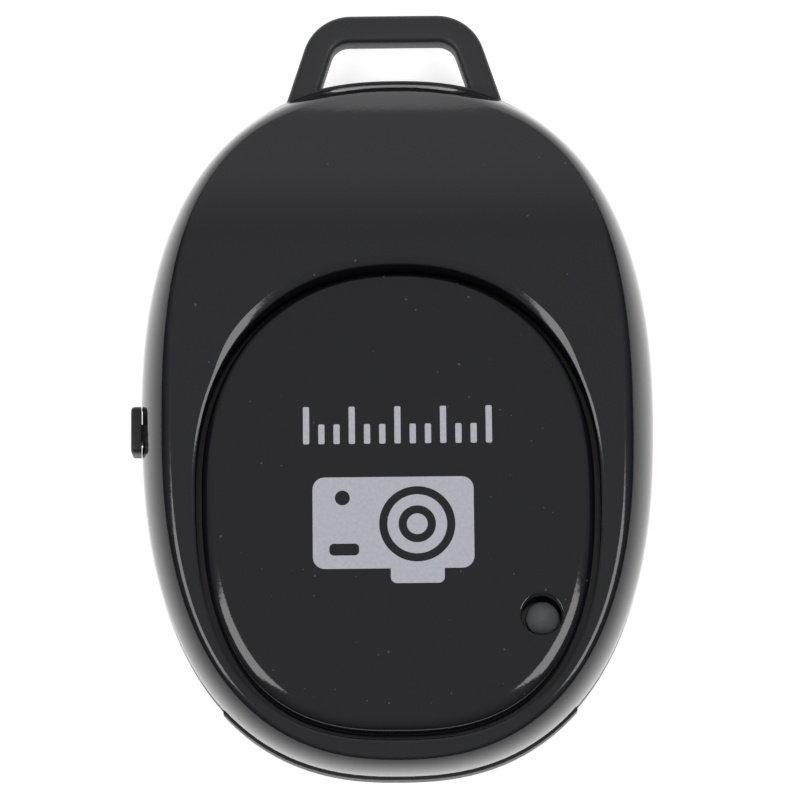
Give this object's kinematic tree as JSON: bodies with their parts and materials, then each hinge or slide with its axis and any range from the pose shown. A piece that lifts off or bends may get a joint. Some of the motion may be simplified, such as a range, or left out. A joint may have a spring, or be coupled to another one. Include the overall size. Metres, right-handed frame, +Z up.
{
  "type": "camera shutter remote",
  "caption": "Hand-held egg-shaped wireless camera shutter remote with a hinged key, slide switch, lanyard loop and slide-off battery door.",
  "frame": {"origin": "on the flat resting face of the back, under the middle of the egg-shaped shells", "axes": "+Z up out of the key, +Y towards the lanyard loop, +X to the right as seen from above"},
  "size_m": [0.0357, 0.0538, 0.012],
  "materials": {
    "gloss_black_abs": "moulded, high gloss",
    "satin_black_abs": "moulded, fine satin texture",
    "satin_black_door": "moulded, fine satin texture",
    "gloss_black_key": "moulded, high gloss",
    "frosted_light_pipe": "frosted translucent grey",
    "satin_black_knob": "moulded, satin",
    "natural_nylon": "moulded",
    "tinned_steel": "pressed, tinned",
    "solder_tin": "tinned",
    "green_fr4": "solder mask",
    "copper_trace": "printed copper",
    "moulded_epoxy": "moulded",
    "crystal_lid": "pressed lid",
    "barium_ceramic": "fired ceramic",
    "resistor_glaze": "glazed",
    "led_resin": "cast resin",
    "black_nylon": "moulded",
    "spring_steel": "pressed",
    "cell_steel": "nickel-plated",
    "cell_gasket": "moulded",
    "gilt_contact": "stamped, plated",
    "screw_steel": "zinc-plated"
  },
  "bodies": {
    "housing": {"front_shell": "gloss_black_abs", "back_shell": "satin_black_abs", "indicator_light_pipe": "frosted_light_pipe", "power_switch_can": "tinned_steel", "power_switch_terminals": "solder_tin", "circuit_board": "green_fr4", "antenna_trace": "copper_trace", "radio_chip": "moulded_epoxy", "memory_chip": "moulded_epoxy", "crystal": "crystal_lid", "ceramic_capacitors": "barium_ceramic", "chip_resistors": "resistor_glaze", "status_led": "led_resin", "tact_switch_base": "black_nylon", "tact_switch_cover": "tinned_steel", "tact_switch_dome": "spring_steel", "tact_switch_terminals": "solder_tin", "coin_cell_can": "cell_steel", "coin_cell_gasket": "cell_gasket", "coin_cell_cap": "cell_steel", "contact_positive": "gilt_contact", "contact_negative": "gilt_contact", "case_screws": "screw_steel"},
    "key": {"shutter_key": "gloss_black_key"},
    "push_switch_plunger": {"tact_switch_plunger": "black_nylon"},
    "power_switch": {"power_switch_knob": "satin_black_knob", "power_switch_slider": "natural_nylon"},
    "door": {"battery_door": "satin_black_door"}
  },
  "joints": [
    {"name": "key_hinge", "type": "hinge", "parent": "housing", "child": "key", "pos_m": [0, 0.0077, 0.00705], "axis": [1, 0, 0], "range_deg": [0, 1.05], "stiffness_Nm_per_rad": 1.7},
    {"name": "plunger_press", "type": "slide", "parent": "housing", "child": "push_switch_plunger", "axis": [0, 0, -1], "range_m": [0, 0.00026], "deforming": ["tact_switch_dome"]},
    {"name": "power_slide", "type": "slide", "parent": "housing", "child": "power_switch", "axis": [0, 1, 0], "range_m": [0, 0.0012]},
    {"name": "door_slide", "type": "slide", "parent": "housing", "child": "door", "axis": [0, -1, 0], "range_m": [0, 0.03]}
  ],
  "couplings": [
    {"joint": "plunger_press", "follows": "key_hinge", "m_per_rad": 0.0137}
  ]
}
